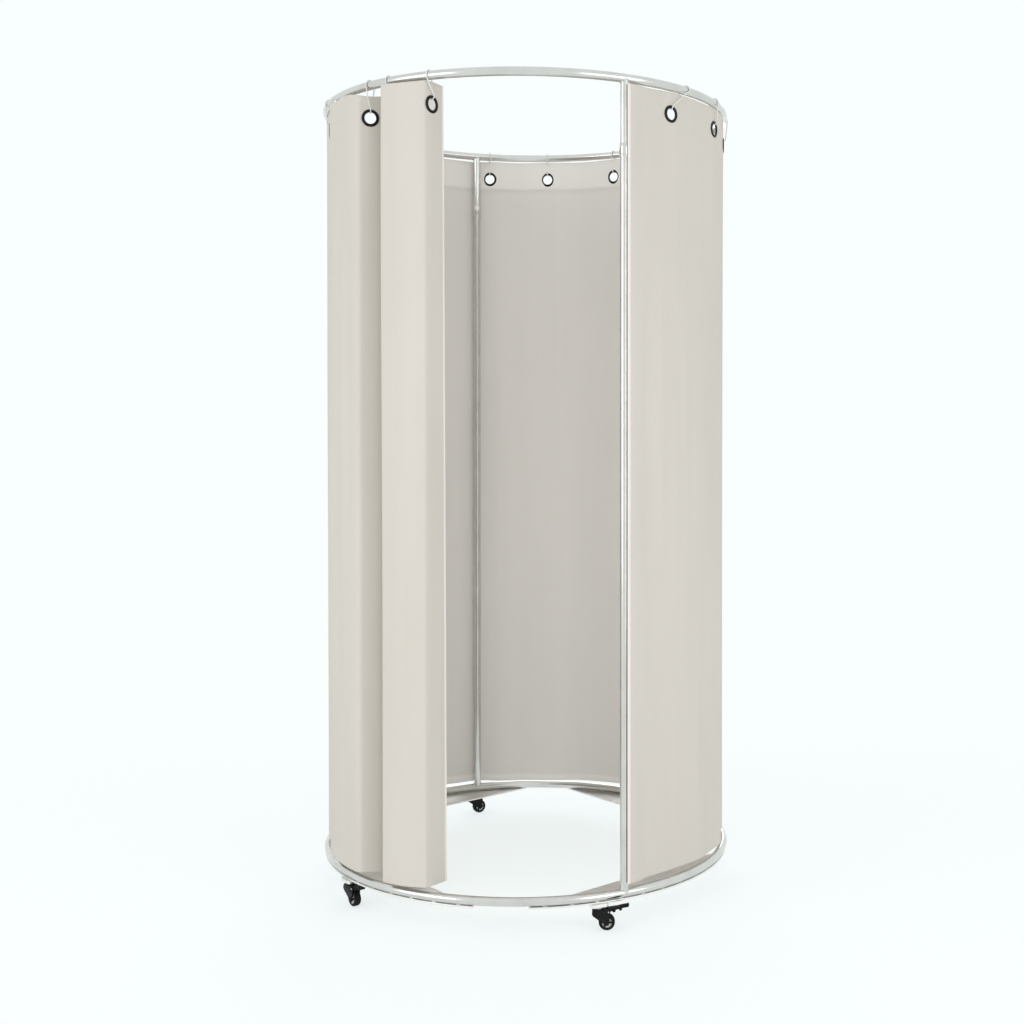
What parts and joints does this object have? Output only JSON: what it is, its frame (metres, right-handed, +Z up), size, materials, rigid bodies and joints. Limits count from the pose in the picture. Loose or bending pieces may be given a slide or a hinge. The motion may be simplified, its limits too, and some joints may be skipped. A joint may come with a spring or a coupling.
{
  "type": "portable fitting room",
  "caption": "Round freestanding fitting room: steel ring frame with posts on swivel casters, hung with a full-height curtain on wire hooks, the doorway part drawn back in folds.",
  "frame": {"origin": "on the floor, under the middle of the two rings", "axes": "+Z up, the doorway looks along -Y, and +X is to the right of someone who stands outside and looks in"},
  "size_m": [1.0614, 1.0615, 1.9937],
  "materials": {
    "steel": "polished stainless tube and plate",
    "caster_black": "black coated steel",
    "wheel_black": "matte black tread on a moulded disc",
    "pedal_black": "matte black moulding",
    "curtain": "off-white blackout curtain cloth",
    "hook_white": "white coated wire"
  },
  "bodies": {
    "stand": {"top_ring_front": "steel", "top_ring_right": "steel", "top_ring_rear": "steel", "top_ring_left": "steel", "base_ring_front": "steel", "base_ring_right": "steel", "base_ring_rear": "steel", "base_ring_left": "steel", "post_front_right": "steel", "post_rear_right": "steel", "post_rear_left": "steel", "post_front_left": "steel", "post_top_front_right": "steel", "post_top_rear_right": "steel", "post_top_rear_left": "steel", "post_top_front_left": "steel", "corner_plate_front_right": "steel", "corner_plate_rear_right": "steel", "corner_plate_rear_left": "steel", "corner_plate_front_left": "steel", "caster_mount_front_right": "steel", "caster_mount_rear_right": "steel", "caster_mount_rear_left": "steel", "caster_mount_front_left": "steel", "curtain_round": "curtain", "hook_01": "hook_white", "hook_02": "hook_white", "hook_03": "hook_white", "hook_04": "hook_white", "hook_05": "hook_white", "hook_06": "hook_white", "hook_07": "hook_white", "hook_08": "hook_white", "hook_09": "hook_white", "hook_10": "hook_white", "hook_11": "hook_white", "hook_12": "hook_white", "hook_held": "hook_white"},
    "door_lead": {"door_fold_lead": "curtain", "hook_lead": "hook_white"},
    "door_crest": {"door_fold_crest": "curtain"},
    "door_front": {"door_fold_front": "curtain"},
    "door_inner": {"door_fold_inner": "curtain", "hook_inner": "hook_white"},
    "fork_front_right": {"caster_fork_front_right": "caster_black", "caster_axle_front_right": "steel"},
    "fork_rear_right": {"caster_fork_rear_right": "caster_black", "caster_axle_rear_right": "steel"},
    "fork_rear_left": {"caster_fork_rear_left": "caster_black", "caster_axle_rear_left": "steel"},
    "fork_front_left": {"caster_fork_front_left": "caster_black", "caster_axle_front_left": "steel"},
    "wheel_front_right": {"caster_wheel_front_right": "wheel_black"},
    "wheel_rear_right": {"caster_wheel_rear_right": "wheel_black"},
    "wheel_rear_left": {"caster_wheel_rear_left": "wheel_black"},
    "wheel_front_left": {"caster_wheel_front_left": "wheel_black"},
    "pedal_front_right": {"caster_pedal_front_right": "pedal_black"},
    "pedal_rear_right": {"caster_pedal_rear_right": "pedal_black"},
    "pedal_rear_left": {"caster_pedal_rear_left": "pedal_black"},
    "pedal_front_left": {"caster_pedal_front_left": "pedal_black"}
  },
  "joints": [
    {"name": "door_edge", "type": "hinge", "parent": "stand", "child": "door_lead", "pos_m": [0, 0, 1], "axis": [0, 0, 1], "range_deg": [0, 48]},
    {"name": "door_crest_slide", "type": "hinge", "parent": "stand", "child": "door_crest", "pos_m": [0, 0, 1], "axis": [0, 0, 1], "range_deg": [0, 43.5]},
    {"name": "door_front_slide", "type": "hinge", "parent": "stand", "child": "door_front", "pos_m": [0, 0, 1], "axis": [0, 0, 1], "range_deg": [0, 28.5]},
    {"name": "door_inner_slide", "type": "hinge", "parent": "stand", "child": "door_inner", "pos_m": [0, 0, 1], "axis": [0, 0, 1], "range_deg": [0, 15.5]},
    {"name": "swivel_front_right", "type": "hinge", "parent": "stand", "child": "fork_front_right", "pos_m": [0.31605, -0.41041, 0.049], "axis": [0, 0, 1], "continuous": true},
    {"name": "swivel_rear_right", "type": "hinge", "parent": "stand", "child": "fork_rear_right", "pos_m": [0.31605, 0.41041, 0.049], "axis": [0, 0, 1], "continuous": true},
    {"name": "swivel_rear_left", "type": "hinge", "parent": "stand", "child": "fork_rear_left", "pos_m": [-0.31605, 0.41041, 0.049], "axis": [0, 0, 1], "continuous": true},
    {"name": "swivel_front_left", "type": "hinge", "parent": "stand", "child": "fork_front_left", "pos_m": [-0.31605, -0.41041, 0.049], "axis": [0, 0, 1], "continuous": true},
    {"name": "roll_front_right", "type": "hinge", "parent": "fork_front_right", "child": "wheel_front_right", "pos_m": [0.33528, -0.40489, 0.019], "axis": [-0.2756, 0.9613, 0], "continuous": true},
    {"name": "roll_rear_right", "type": "hinge", "parent": "fork_rear_right", "child": "wheel_rear_right", "pos_m": [0.3229, 0.4292, 0.019], "axis": [-0.9397, 0.342, 0], "continuous": true},
    {"name": "roll_rear_left", "type": "hinge", "parent": "fork_rear_left", "child": "wheel_rear_left", "pos_m": [-0.30216, 0.42479, 0.019], "axis": [-0.7193, 0.6947, 0], "continuous": true},
    {"name": "roll_front_left", "type": "hinge", "parent": "fork_front_left", "child": "wheel_front_left", "pos_m": [-0.29928, -0.4213, 0.019], "axis": [0.5446, 0.8387, 0], "continuous": true},
    {"name": "brake_front_right", "type": "hinge", "parent": "fork_front_right", "child": "pedal_front_right", "pos_m": [0.33913, -0.40379, 0.0442], "axis": [-0.2756, 0.9613, 0], "range_deg": [0, 15]},
    {"name": "brake_rear_right", "type": "hinge", "parent": "fork_rear_right", "child": "pedal_rear_right", "pos_m": [0.32426, 0.43296, 0.0442], "axis": [-0.9397, 0.342, 0], "range_deg": [0, 15]},
    {"name": "brake_rear_left", "type": "hinge", "parent": "fork_rear_left", "child": "pedal_rear_left", "pos_m": [-0.29938, 0.42767, 0.0442], "axis": [-0.7193, 0.6947, 0], "range_deg": [0, 15]},
    {"name": "brake_front_left", "type": "hinge", "parent": "fork_front_left", "child": "pedal_front_left", "pos_m": [-0.29593, -0.42348, 0.0442], "axis": [0.5446, 0.8387, 0], "range_deg": [0, 15]}
  ],
  "couplings": [
    {"joint": "door_crest_slide", "follows": "door_edge", "ratio": 0.9},
    {"joint": "door_front_slide", "follows": "door_edge", "ratio": 0.58},
    {"joint": "door_inner_slide", "follows": "door_edge", "ratio": 0.31}
  ]
}
